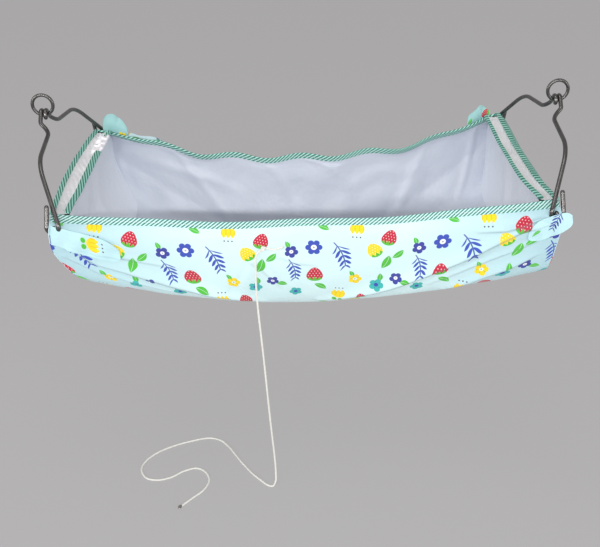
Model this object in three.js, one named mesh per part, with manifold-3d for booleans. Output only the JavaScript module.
// Hanging baby cradle: a lined cloth tub carried by two spreader rods, four bent steel hangers and two rings,
// with a pull cord that falls from its front wall to the floor and lies there in a loose curve.
// Millimetres. The origin lies midway between the lowest wires of the two rings, where the cradle swings:
// +X runs along the cradle to the right, +Y from the front wall to the back wall, +Z up.
import * as THREE from 'three';
import { mergeVertices } from 'three/addons/utils/BufferGeometryUtils.js';
import Module from 'manifold-3d';

const wasm = await Module();
wasm.setup();

// Room between pieces: touching pieces, a wire that turns in a hook, and a wire in a hole of the cloth
const touchGap = 0.3;
const runningGap = 0.35;
const holeGap = 0.6;

// Rings that the whole cradle hangs on
const hangSpan = 978;
const ringWire = 6.5;
const ringOutside = 45;

// Hanger rods: bends measured from the hang point, inboard, outward and down
const hangerWire = 8;
const dipInboard = 13;
const dipOut = 32;
const dipDrop = 23;
const shoulderInboard = 19;
const shoulderOut = 152;
const shoulderDrop = 37;
const legInboard = 59;
const legFromWall = 10;
const legDrop = 122;
const dipCut = 13;
const shoulderCut = 20;
const legCut = 5;
const crossCut = 4;
const hookRadius = 10.5;
const hookStraight = 3;
const hookTipInboard = 1;
const hookTipBack = 17;
const hookTipRise = 31;

// Spreader rods that keep the two walls apart
const spreaderWire = 8;
const spreaderChamfer = 0.8;
const spreaderFromLeg = 9.5;

// Cloth thicknesses
const outerCloth = 1.2;
const liningCloth = 0.8;
const sleeveCloth = 1;
const bindingCloth = 0.8;
const tabCloth = 1;

// Tub: half widths and heights at the ends and in the middle of its length
const endHalfWidth = 243;
const endRim = -109;
const leftDepth = 155;
const rightDepth = 166;
const middleHalfWidth = 176;
const middleRim = -156;
const middleDepth = 240;
const leftLean = 45;
const rightLean = 5;
const wallBindingHeight = 11;
const endBindingHeight = 12.5;

// Soft shapes of the cloth: rim waves, tension creases, and how far the end lining leans in
const backWave = 6;
const backDrop = 12;
const backCornerRise = 20;
const frontWave = 2.5;
const creaseHeight = 5;
const liningLean = 8;
const sleeveSag = 5;

// Corner tabs
const frontTabLength = 112;
const frontTabWidth = 36;
const rightTabLength = 72;
const rightTabOverhang = 20;
const leftBackTabWidth = 46;
const leftBackTabRise = 50;
const rightBackTabWidth = 56;
const rightBackTabRise = 32;
const backTabTuck = 20;
const backTabInboard = 46;
const tabLift = 1.2;

// Pull cord and its small pieces
const cordWire = 4;
const knotLength = 13;
const knotWidth = 10;
const tailLength = 30;
const tipLength = 9;
const tipWidth = 7;
const floorDrop = 768;

// Route of the cord from its knot on the front wall to its end on the floor
const cordRoute = [
  [-84, -184.5, -209], [-89, -186, -213], [-93, -188, -221], [-94, -189, -243], [-95, -189, -275],
  [-94, -189, -330], [-91, -189, -390], [-88, -189, -450], [-85, -189, -520], [-82, -189, -590],
  [-79, -189, -650], [-76, -190, -705], [-75, -193, -742], [-76, -202, -761], [-82, -211, -766],
  [-93, -208, -766], [-108, -193, -766], [-128, -170, -766], [-154, -131, -766], [-183, -82, -766],
  [-203, -59, -766], [-228, -50, -766], [-265, -57, -766], [-306, -72, -766], [-340, -92, -766],
  [-364, -118, -766], [-372, -146, -766], [-358, -174, -766], [-332, -182, -766], [-304, -175, -766],
  [-276, -156, -766], [-250, -149, -766], [-230, -162, -766], [-220, -188, -766], [-230, -217, -766],
  [-252, -240, -766], [-272, -261, -766],
];

// Numbers of facets
const ringSides = 10;
const ringSteps = 24;
const wireSides = 10;
const cordSides = 8;
const cordSteps = 80;
const hookSteps = 7;
const bendSteps = 4;
const knotSteps = 8;
const sleeveSteps = 8;
const boreSteps = 5;
const tabSteps = 7;
const halvings = 24;

// Outlines of half a section, from the rim to the middle of the floor, as shares of half width and depth
const endOutlineShares = [[0.871, 0], [1, 0.144], [0.967, 0.503], [0.833, 0.88], [0.396, 0.974], [0, 1]];
const middleOutlineShares = [[0.977, 0], [1, 0.125], [0.955, 0.454], [0.739, 0.808], [0.352, 0.967], [0, 1]];

// Stations along the length and around the section, where the cloth is cut into facets
const seamShare = 0.72;
const innerRimShare = 0.94;
const lengthShares = [0, 0.1, 0.2, 0.3, 0.4, 0.5, 0.6, 0.7, 0.78, 0.85, 0.9, innerRimShare, 1];
const wallShares = [0.1, 0.2, 0.3, 0.39, 0.48, 0.57, 0.65, seamShare];
const floorShares = [seamShare, 0.79, 0.87, 1];
const probeShare = 0.0005;
const stripProbeShare = 0.06;

// Course of the surface: how the ends blend into the middle, where rims rise and ends lean, and their waves
const middlePower = 0.9;
const backRiseShares = [0.5, 0.85];
const leanShares = [0.3, seamShare];
const rimFadeShare = 0.4;
const backWaveCount = 6.1;
const frontWaveCount = 3;

// Hanger: straight part of its first run, and how far its upper hook goes round the ring's wire
const crossShare = 0.55;
const hookTurnShare = 0.62;

// Creases: from the corner (share of half length, share of the way down the section) to the floor
const leftCreaseShares = [[0.95, 0.3], [0.2, 0.6]];
const rightCreaseShares = [[0.97, 0.19], [0.06, 0.6]];
const lowCreaseShares = [[0.93, 0.41], [0.55, 0.58]];
const creaseWidthShare = 0.045;
const creaseBowShare = 0.12;

// Tabs: how far down the wall they start and stop, and how round their ends are
const leftTabDownShares = [0.2, 0.31];
const rightTabDownShares = [0.2, 0.27];
const leftTabStartShare = 0.995;
const tabEndShare = 0.35;
const flapRoundShare = 0.35;

// Tail of the cord's knot: shares of its length along the wall and down it
const tailShares = [[0, 0.02], [0.2, 0.08], [0.45, 0.12], [0.7, 0.08], [1, -0.02]];

// Places worked out from the sizes above
const hangX = hangSpan / 2;
const ringRadius = (ringOutside - ringWire) / 2;
const legX = hangX - legInboard;
const legOut = endHalfWidth - legFromWall;
const hookX = legX + hookRadius;
const hookZ = -legDrop - hookStraight;
const spreaderX = legX + spreaderFromLeg;
const spreaderSeat = hookRadius - hangerWire / 2 - spreaderWire / 2 - runningGap;
const spreaderZ = hookZ - Math.sqrt(spreaderSeat ** 2 - (hookX - spreaderX) ** 2);
const spreaderHalf = legOut + hangerWire / 2 + touchGap;
const sleeveRadius = spreaderWire / 2 + runningGap + sleeveCloth;
const halfLength = spreaderX + sleeveRadius + touchGap;
const innerRimX = halfLength * innerRimShare;
const liningStart = outerCloth + touchGap;
const liningEnd = liningStart + liningCloth;

const steel = new THREE.MeshStandardMaterial({ color: 0x6f6d6c, roughness: 0.3, metalness: 1 });
const printed = new THREE.MeshStandardMaterial({ color: 0xcfeef2, roughness: 0.85, metalness: 0 });
const lining = new THREE.MeshStandardMaterial({ color: 0xc3c8d6, roughness: 0.7, metalness: 0 });
const striped = new THREE.MeshStandardMaterial({ color: 0x4fa98a, roughness: 0.85, metalness: 0 });
const cotton = new THREE.MeshStandardMaterial({ color: 0xefece4, roughness: 0.9, metalness: 0 });

const cradle = new THREE.Group();

function place(name, geometry, material) {
  const mesh = new THREE.Mesh(geometry, material);
  mesh.name = name;
  cradle.add(mesh);
}

// A merged, position-only copy, which a solid can be made from
function bare(geometry) {
  const copy = geometry.clone();
  copy.deleteAttribute('normal');
  copy.deleteAttribute('uv');
  return mergeVertices(copy, touchGap / 1000);
}

function toSolid(geometry) {
  const merged = bare(geometry);
  const vertProperties = new Float32Array(merged.attributes.position.array);
  const triVerts = new Uint32Array(merged.index.array);
  return new wasm.Manifold(new wasm.Mesh({ numProp: 3, vertProperties, triVerts }));
}

function toGeometry(solid) {
  const mesh = solid.getMesh();
  const geometry = new THREE.BufferGeometry();
  geometry.setAttribute('position', new THREE.BufferAttribute(new Float32Array(mesh.vertProperties), 3));
  geometry.setIndex(Array.from(mesh.triVerts));
  return geometry;
}

// Cuts wire holes into a piece of cloth, and keeps the cloth without the scraps that fall out
function pierce(geometry, cutters) {
  let solid = toSolid(geometry);
  for (const cutter of cutters) solid = solid.subtract(cutter);
  const parts = solid.decompose();
  parts.sort((a, b) => b.volume() - a.volume());
  return toGeometry(parts[0]);
}

function signedVolume(points, faces) {
  let six = 0;
  for (const [a, b, c] of faces) six += points[a].dot(points[b].clone().cross(points[c]));
  return six;
}

// A closed sheet between two grids of points that match each other, rows along i and columns along j. Squares
// are split along one diagonal, and those of the columns that crossed names along the other one.
function closedSheet(outside, inside, crossed = []) {
  const rows = outside.length;
  const columns = outside[0].length;
  const points = [...outside.flat(), ...inside.flat()];
  const far = rows * columns;
  const faces = [];
  const quad = (a, b, c, d) => faces.push([a, b, c], [a, c, d]);
  for (let i = 0; i < rows - 1; i++) {
    for (let j = 0; j < columns - 1; j++) {
      const near = i * columns + j;
      const corners = [near, near + columns, near + columns + 1, near + 1];
      if (crossed.includes(j)) corners.push(corners.shift());
      const [a, b, c, d] = corners;
      // Both skins are split along the same diagonal, so that they stay the same distance apart
      quad(a, b, c, d);
      faces.push([far + a, far + c, far + b], [far + a, far + d, far + c]);
    }
  }
  for (let i = 0; i < rows - 1; i++) {
    const near = i * columns;
    const end = near + columns - 1;
    quad(near, far + near, far + near + columns, near + columns);
    quad(end, end + columns, far + end + columns, far + end);
  }
  for (let j = 0; j < columns - 1; j++) {
    const last = (rows - 1) * columns + j;
    quad(j, j + 1, far + j + 1, far + j);
    quad(last, far + last, far + last + 1, last + 1);
  }
  if (signedVolume(points, faces) < 0) faces.forEach((face) => face.reverse());
  const geometry = new THREE.BufferGeometry();
  const flat = points.flatMap((point) => point.toArray());
  geometry.setAttribute('position', new THREE.Float32BufferAttribute(flat, 3));
  geometry.setIndex(faces.flat());
  return geometry;
}

// A curve that an extrusion follows station by station, with the same step number for each station
class Stations extends THREE.Curve {
  constructor(points) {
    super();
    this.points = points;
  }

  getPoint(share, target = new THREE.Vector3()) {
    const last = this.points.length - 1;
    const index = Math.min(last - 1, Math.floor(share * last));
    return target.lerpVectors(this.points[index], this.points[index + 1], share * last - index);
  }

  getPointAt(share, target) {
    return this.getPoint(share, target);
  }

  getTangentAt(share, target = new THREE.Vector3()) {
    const last = this.points.length - 1;
    const index = Math.round(share * last);
    const before = this.points[Math.max(0, index - 1)];
    const after = this.points[Math.min(last, index + 1)];
    return target.subVectors(after, before).normalize();
  }
}

function tube(points, radius, sides) {
  const section = new THREE.Shape();
  for (let side = 0; side < sides; side++) {
    const angle = side / sides * Math.PI * 2;
    const [x, y] = [radius * Math.cos(angle), radius * Math.sin(angle)];
    if (side === 0) section.moveTo(x, y);
    else section.lineTo(x, y);
  }
  const settings = { extrudePath: new Stations(points), steps: points.length - 1, bevelEnabled: false };
  return new THREE.ExtrudeGeometry(section, settings);
}

// Points along straight runs whose corners are rounded off, each corner cut back by its own length
function roundedRun(corners, cuts) {
  const run = [corners[0]];
  for (let i = 1; i < corners.length - 1; i++) {
    const corner = corners[i];
    const before = corner.clone().add(corners[i - 1].clone().sub(corner).setLength(cuts[i - 1]));
    const after = corner.clone().add(corners[i + 1].clone().sub(corner).setLength(cuts[i - 1]));
    run.push(...new THREE.QuadraticBezierCurve3(before, corner, after).getPoints(bendSteps));
  }
  run.push(corners[corners.length - 1]);
  return run;
}

// One hanger: over the ring's wire, down and out through two bends, then round the spreader rod from below
function hangerRun(end, side) {
  const sideStep = (hangerWire + touchGap) / 2;
  const reachAside = sideStep + hangerWire / 4;
  const ringRise = ringRadius - Math.sqrt(ringRadius ** 2 - reachAside ** 2);
  const radius = ringWire / 2 + ringRise + runningGap + hangerWire / 2;
  const topX = end * (hangX - side * sideStep);
  const reach = Math.hypot(dipOut, dipDrop);
  const leave = Math.atan2(dipOut, -dipDrop) - Math.acos(radius / reach);
  const tip = -Math.PI * hookTurnShare;
  const points = [];
  for (let step = 0; step <= hookSteps; step++) {
    const angle = tip + (leave - tip) * step / hookSteps;
    points.push(new THREE.Vector3(topX, side * radius * Math.sin(angle), radius * Math.cos(angle)));
  }
  const top = points.pop();
  const dip = new THREE.Vector3(end * (hangX - dipInboard), side * dipOut, -dipDrop);
  const hookLow = new THREE.Vector3(end * legX, side * legOut, hookZ);
  const corners = [
    top,
    top.clone().lerp(dip, crossShare).setX(topX),
    dip,
    new THREE.Vector3(end * (hangX - shoulderInboard), side * shoulderOut, -shoulderDrop),
    new THREE.Vector3(end * legX, side * legOut, -legDrop),
    hookLow,
  ];
  const run = roundedRun(corners, [crossCut, dipCut, shoulderCut, legCut]);
  run.pop();
  points.push(...run);
  for (let step = 0; step <= hookSteps; step++) {
    const angle = Math.PI * (1 + step / hookSteps);
    const x = end * (hookX + hookRadius * Math.cos(angle));
    points.push(new THREE.Vector3(x, side * legOut, hookZ + hookRadius * Math.sin(angle)));
  }
  const tipX = hookX + hookRadius - hookTipInboard;
  points.push(new THREE.Vector3(end * tipX, side * (legOut - hookTipBack), hookZ + hookTipRise));
  return points;
}

function outlineCurve(shares) {
  const points = shares.map(([wide, deep]) => new THREE.Vector3(wide, deep, 0));
  return new THREE.CatmullRomCurve3(points, false, 'centripetal');
}

const endOutline = outlineCurve(endOutlineShares);
const middleOutline = outlineCurve(middleOutlineShares);

// How far the cloth stands out along one crease, which bows between its two ends
function crease(along, down, [[startAlong, startDown], [stopAlong, stopDown]]) {
  const share = (along - startAlong) / (stopAlong - startAlong);
  if (share < 0 || share > 1) return 0;
  const line = THREE.MathUtils.lerp(startDown, stopDown, share) + creaseBowShare * share * (1 - share);
  const fade = Math.sqrt(Math.sin(Math.PI * share));
  return creaseHeight * fade * Math.exp(-(((down - line) / creaseWidthShare) ** 2));
}

// The outside of the tub. along runs from -1 at the left end to 1 at the right end, and turn from -1 at the
// front rim over 0 in the middle of the floor to 1 at the back rim.
function tubSurface(along, turn) {
  const side = Math.sign(turn) || 1;
  const down = THREE.MathUtils.clamp(1 - Math.abs(turn), 0, 1);
  const middle = Math.max(0, 1 - along ** 2) ** middlePower;
  const atEnd = endOutline.getPoint(down);
  const atMiddle = middleOutline.getPoint(down);
  const width = THREE.MathUtils.lerp(endHalfWidth * atEnd.x, middleHalfWidth * atMiddle.x, middle);
  const endZ = endRim - (along < 0 ? leftDepth : rightDepth) * atEnd.y;
  const middleZ = middleRim - middleDepth * atMiddle.y;
  const rimFade = (1 - THREE.MathUtils.smoothstep(down, 0, rimFadeShare)) * Math.max(0, 1 - along ** 4);
  const backSway = backCornerRise * THREE.MathUtils.smoothstep(Math.abs(along), ...backRiseShares) - backDrop;
  const backRim = backWave * Math.cos(along * Math.PI * backWaveCount) + backSway;
  const waves = side > 0 ? backRim : frontWave * Math.cos(along * Math.PI * frontWaveCount);
  const lean = (along < 0 ? leftLean : rightLean) * THREE.MathUtils.smoothstep(down, ...leanShares);
  const creases = side < 0 && along > 0 ? [rightCreaseShares, lowCreaseShares] : [leftCreaseShares];
  const out = creases.reduce((sum, shares) => sum + crease(Math.abs(along), down, shares), 0);
  const z = THREE.MathUtils.lerp(endZ, middleZ, middle) + waves * rimFade - out * down;
  return new THREE.Vector3(along * (halfLength - lean), side * (width + out * (1 - down)), z);
}

// A point of the tub, moved inward from its outside by the given distance, within its own section
function tubPoint(along, turn, inward) {
  const alongStep = tubSurface(along + probeShare, turn).sub(tubSurface(along - probeShare, turn));
  const turnStep = tubSurface(along, turn + probeShare).sub(tubSurface(along, turn - probeShare));
  const normal = alongStep.cross(turnStep).setX(0).normalize();
  return tubSurface(along, turn).addScaledVector(normal, inward);
}

// A point over the front wall at the given height, found by halving
function tubPointAtHeight(along, z, inward) {
  let [low, high] = [0, seamShare];
  for (let step = 0; step < halvings; step++) {
    const middle = (low + high) / 2;
    if (tubPoint(along, middle - 1, inward).z > z) low = middle;
    else high = middle;
  }
  return tubPoint(along, low - 1, inward);
}

// Direction in the cloth from a point at a rim up and out of the tub
function rimDirection(along, side) {
  const edge = side * (1 - probeShare);
  return tubSurface(along, edge).sub(tubSurface(along, edge - side * probeShare)).setX(0).normalize();
}

function lengthStations(limit) {
  const half = lengthShares.filter((share) => share <= limit);
  return [...half.slice(1).reverse().map((share) => -share), ...half];
}

function wallTurns(side, bindingShare) {
  const seam = seamShare - touchGap / (2 * middleDepth);
  const downs = [0, bindingShare, ...wallShares.slice(0, -1), seam];
  return downs.map((down) => side * (1 - down));
}

function floorTurns() {
  const half = [seamShare + touchGap / (2 * middleDepth), ...floorShares.slice(1)].map((down) => 1 - down);
  return [...half.map((turn) => -turn), ...half.slice(0, -1).reverse()];
}

function tubSheet(stations, turns, from, to) {
  const grid = (inward) => stations.map((along) => turns.map((turn) => tubPoint(along, turn, inward)));
  return closedSheet(grid(from), grid(to));
}

// Share of the section that a strip of the given height takes up, below the given place on a wall
function stripShare(height, along = 0, down = 0) {
  const reach = tubSurface(along, 1 - down).distanceTo(tubSurface(along, 1 - down - stripProbeShare));
  return height * stripProbeShare / reach;
}

// A strip folded over the rim of the front or back wall
function wallBinding(side) {
  const low = side * (1 - stripShare(wallBindingHeight));
  const fold = (gap) => lengthStations(1).map((along) => {
    const lift = rimDirection(along, side).multiplyScalar(gap);
    const inner = liningEnd + gap;
    return [
      tubPoint(along, low, -gap),
      tubPoint(along, side, -gap).add(lift),
      tubPoint(along, side, inner).add(lift),
      tubPoint(along, low, inner),
    ];
  });
  return closedSheet(fold(touchGap + bindingCloth), fold(touchGap), [0]);
}

// Point of a sheet stretched inside four edges, for the wall that closes an end of the tub
function stretched(edges, across, down) {
  const { top, bottom, front, back } = edges;
  const ruledDown = top(across).lerp(bottom(across), down);
  const ruledAcross = front(down).lerp(back(down), across);
  const corners = top(0).lerp(top(1), across).lerp(bottom(0).lerp(bottom(1), across), down);
  return ruledDown.add(ruledAcross).sub(corners);
}

// Grid of the wall that fills the section at one end. alongAt gives the place along the tub for each depth.
function endWallGrid(alongAt, inward, shift) {
  const downs = [0, ...wallShares];
  const half = floorShares.map((down) => 1 - down);
  const turns = [...half.map((turn) => -turn), ...half.slice(0, -1).reverse()];
  const at = (turn) => tubPoint(alongAt(1 - Math.abs(turn)), turn, inward);
  const steps = turns.length - 1;
  const edges = {
    top: (across) => at(-1).lerp(at(1), across),
    bottom: (across) => at(turns[Math.round(across * steps)]),
    front: (down) => at(downs[Math.round(down * (downs.length - 1))] - 1),
    back: (down) => at(1 - downs[Math.round(down * (downs.length - 1))]),
  };
  return turns.map((turn, i) => downs.map((depth, j) => {
    const down = j / (downs.length - 1);
    return stretched(edges, i / steps, down).setX(edges.front(down).x + shift);
  }));
}

function outerEndPanel(end) {
  const grid = (shift) => endWallGrid(() => end, 0, end * shift);
  return closedSheet(grid(touchGap), grid(touchGap + outerCloth));
}

function innerAlong(end, down) {
  const lean = end < 0 ? leftLean : rightLean;
  const bend = THREE.MathUtils.smoothstep(down, ...leanShares);
  return end * (innerRimX - (lean + liningLean) * bend) / (halfLength - lean * bend);
}

function innerEndPanel(end) {
  const inward = liningEnd + bindingCloth + touchGap * 3;
  const grid = (shift) => endWallGrid((down) => innerAlong(end, down), inward, end * shift);
  return closedSheet(grid(0), grid(-liningCloth));
}

// A strip folded over the straight top of an end wall, from one x to another
function endBinding(innerX, outerX, rim, halfSpan, end) {
  const fold = (gap) => [-halfSpan, halfSpan].map((y) => [
    new THREE.Vector3(end * (innerX - gap), y, rim - endBindingHeight),
    new THREE.Vector3(end * (innerX - gap), y, rim + gap),
    new THREE.Vector3(end * (outerX + gap), y, rim + gap),
    new THREE.Vector3(end * (outerX + gap), y, rim - endBindingHeight),
  ]);
  return closedSheet(fold(touchGap + bindingCloth), fold(touchGap));
}

// Cloth channel round a spreader rod, with a web that sags between the two bound edges of an end wall
function sleeve(end, halfSpan) {
  const outerFace = halfLength;
  const innerFace = innerRimX + touchGap;
  const top = endRim - touchGap;
  const wingLow = endRim - endBindingHeight - touchGap;
  const ringTop = spreaderZ + sleeveRadius;
  const shape = new THREE.Shape();
  shape.moveTo(outerFace, top);
  shape.lineTo(outerFace - sleeveCloth, top);
  shape.lineTo(outerFace - sleeveCloth, wingLow);
  shape.lineTo(spreaderX, ringTop);
  shape.lineTo(spreaderX - sleeveRadius, ringTop - sleeveCloth);
  const webMiddle = (innerFace + spreaderX - sleeveRadius) / 2;
  const webTop = ringTop - sleeveSag;
  const webLow = webTop - sleeveCloth * 3 / 2;
  shape.quadraticCurveTo(webMiddle, webTop, innerFace + sleeveCloth, wingLow);
  shape.lineTo(innerFace + sleeveCloth, top);
  shape.lineTo(innerFace, top);
  shape.lineTo(innerFace, wingLow - sleeveCloth);
  shape.quadraticCurveTo(webMiddle, webLow, spreaderX - sleeveRadius, ringTop - sleeveCloth * 5 / 2);
  for (let step = 0; step <= sleeveSteps; step++) {
    const angle = Math.PI * (1 + step / sleeveSteps);
    shape.lineTo(spreaderX + sleeveRadius * Math.cos(angle), spreaderZ + sleeveRadius * Math.sin(angle));
  }
  const bore = new THREE.Path();
  bore.absarc(spreaderX, spreaderZ, spreaderWire / 2 + runningGap, 0, Math.PI * 2, true);
  shape.holes.push(bore);
  const settings = { depth: halfSpan * 2, bevelEnabled: false, curveSegments: boreSteps };
  const geometry = new THREE.ExtrudeGeometry(shape, settings);
  geometry.rotateX(Math.PI / 2);
  geometry.translate(0, halfSpan, 0);
  if (end < 0) geometry.rotateZ(Math.PI);
  return geometry;
}

function spreader(end, radius, half) {
  const profile = [
    [0, -half],
    [radius - spreaderChamfer, -half],
    [radius, -half + spreaderChamfer],
    [radius, half - spreaderChamfer],
    [radius - spreaderChamfer, half],
    [0, half],
  ];
  const geometry = new THREE.LatheGeometry(profile.map(([r, y]) => new THREE.Vector2(r, y)), wireSides * 2);
  geometry.translate(end * spreaderX, 0, spreaderZ);
  return geometry;
}

// Rounded tongue of cloth that lies on the front wall, from the corner towards the middle
function frontTab(end, startAlong, stopAlong, downShares) {
  const halfShare = stripShare(frontTabWidth / 2, 1, downShares[0]);
  const grid = (lift) => Array.from({ length: tabSteps + 1 }, (_, i) => {
    const share = i / tabSteps;
    const half = halfShare * THREE.MathUtils.lerp(tabEndShare, 1, Math.sqrt(1 - share ** 3));
    const along = end * THREE.MathUtils.lerp(startAlong, stopAlong, share);
    const middle = THREE.MathUtils.lerp(...downShares, share);
    return [-1, -0.5, 0, 0.5, 1].map((across) => tubPoint(along, -(1 - middle - across * half), -lift));
  });
  return closedSheet(grid(tabLift + tabCloth), grid(tabLift));
}

// Rounded flap that stands up behind the back rim at a corner
function backTab(end, width, height) {
  const middleX = end * (halfLength - backTabInboard);
  const behind = bindingCloth + touchGap * 3;
  const tuckShare = stripShare(backTabTuck);
  const grid = (thick) => Array.from({ length: tabSteps + 1 }, (_, i) => {
    const share = i / tabSteps * 2 - 1;
    const along = (middleX + share * width / 2) / halfLength;
    const rise = height * (1 - flapRoundShare * share ** 4);
    const rim = tubPoint(along, 1, -behind - thick);
    return [
      tubPoint(along, 1 - tuckShare, -behind - thick),
      tubPoint(along, 1 - tuckShare / 2, -behind - thick),
      rim,
      rim.clone().add(new THREE.Vector3(0, -rise / 8, rise / 2)),
      rim.clone().add(new THREE.Vector3(0, 0, rise)),
    ];
  });
  return closedSheet(grid(tabCloth), grid(0));
}

// A small round knot, longer along the direction given
function knot(center, direction, length, width) {
  const points = Array.from({ length: knotSteps + 1 }, (_, step) => {
    const angle = Math.PI * (step / knotSteps - 1 / 2);
    const radius = step % knotSteps === 0 ? 0 : width / 2 * Math.cos(angle);
    return new THREE.Vector2(radius, length / 2 * Math.sin(angle));
  });
  const geometry = new THREE.LatheGeometry(points, wireSides);
  const up = new THREE.Vector3(0, 1, 0);
  geometry.applyQuaternion(new THREE.Quaternion().setFromUnitVectors(up, direction.clone().normalize()));
  geometry.translate(center.x, center.y, center.z);
  return geometry;
}

const cutters = [];
for (const [end, endName] of [[-1, 'left'], [1, 'right']]) {
  const ring = new THREE.TorusGeometry(ringRadius, ringWire / 2, ringSides, ringSteps);
  ring.rotateX(Math.PI / 2);
  ring.translate(end * hangX, 0, ringRadius);
  place(`${endName}_ring`, ring, steel);
  place(`${endName}_spreader_rod`, spreader(end, spreaderWire / 2, spreaderHalf), steel);
  cutters.push(toSolid(spreader(end, spreaderWire / 2 + holeGap, spreaderHalf + holeGap)));
  for (const [side, sideName] of [[-1, 'front'], [1, 'back']]) {
    const run = hangerRun(end, side);
    place(`${endName}_${sideName}_hanger_rod`, tube(run, hangerWire / 2, wireSides), steel);
    cutters.push(toSolid(tube(run, hangerWire / 2 + holeGap, wireSides)));
  }
}

const bindingShare = stripShare(wallBindingHeight);
const liningStations = lengthStations(innerRimShare);
for (const [side, sideName] of [[-1, 'front'], [1, 'back']]) {
  const turns = wallTurns(side, bindingShare);
  place(`${sideName}_panel`, pierce(tubSheet(lengthStations(1), turns, 0, outerCloth), cutters), printed);
  place(`${sideName}_lining`, tubSheet(liningStations, turns, liningStart, liningEnd), lining);
  place(`${sideName}_rim_binding`, wallBinding(side), striped);
}
place('floor_panel', tubSheet(lengthStations(1), floorTurns(), 0, outerCloth), printed);
place('floor_lining', tubSheet(liningStations, floorTurns(), liningStart, liningEnd), lining);

const outerSpan = endHalfWidth * endOutlineShares[0][0] - liningEnd - bindingCloth - touchGap * 4;
const innerSpan = tubPoint(innerRimShare, 1, liningEnd + bindingCloth * 4).y;
for (const [end, endName] of [[-1, 'left'], [1, 'right']]) {
  place(`${endName}_end_panel`, pierce(outerEndPanel(end), cutters), printed);
  place(`${endName}_end_lining`, innerEndPanel(end), lining);
  place(`${endName}_rod_sleeve`, sleeve(end, innerSpan), lining);
  const outerFrom = halfLength - sleeveCloth;
  const outerTo = halfLength + touchGap + outerCloth;
  place(`${endName}_end_binding`, endBinding(outerFrom, outerTo, endRim, outerSpan, end), striped);
  const innerFrom = innerRimX - liningCloth;
  const innerTo = innerRimX + touchGap + sleeveCloth;
  place(`${endName}_inner_binding`, endBinding(innerFrom, innerTo, endRim, innerSpan, end), striped);
}

place('back_left_tab', pierce(backTab(-1, leftBackTabWidth, leftBackTabRise), cutters), printed);
place('back_right_tab', pierce(backTab(1, rightBackTabWidth, rightBackTabRise), cutters), printed);
const leftTabStop = 1 - frontTabLength / halfLength;
const leftTab = frontTab(-1, leftTabStartShare, leftTabStop, leftTabDownShares);
place('front_left_tab', pierce(leftTab, cutters), printed);
const rightTabStart = 1 + rightTabOverhang / halfLength;
const rightTabStop = rightTabStart - rightTabLength / halfLength;
const rightTab = frontTab(1, rightTabStart, rightTabStop, rightTabDownShares);
place('front_right_tab', pierce(rightTab, cutters), printed);

const cordCurve = new THREE.CatmullRomCurve3(cordRoute.map((point) => new THREE.Vector3(...point)));
place('pull_cord', tube(cordCurve.getSpacedPoints(cordSteps), cordWire / 2, cordSides), cotton);
const cordStart = cordCurve.getTangentAt(0);
const knotCenter = cordCurve.getPointAt(0).addScaledVector(cordStart, -(knotLength / 2 + touchGap));
place('pull_cord_knot', knot(knotCenter, cordStart, knotLength, knotWidth), cotton);
const cordEnd = cordCurve.getTangentAt(1);
const tipCenter = cordCurve.getPointAt(1).addScaledVector(cordEnd, tipLength / 2 + touchGap);
tipCenter.z = tipWidth / 2 - floorDrop;
place('pull_cord_tip', knot(tipCenter, cordEnd.setZ(0), tipLength, tipWidth), cotton);
const tailStart = knotCenter.clone().addScaledVector(new THREE.Vector3(1, 0, 0), knotWidth / 2 + touchGap * 3);
const tailPoints = tailShares.map(([share, drop]) => {
  const x = tailStart.x + tailLength * share;
  const z = tailStart.z - tailLength * drop;
  return tubPointAtHeight(x / halfLength, z, -touchGap * 2 - cordWire / 2);
});
place('pull_cord_tail', tube(tailPoints, cordWire / 2, cordSides), cotton);

export default cradle;
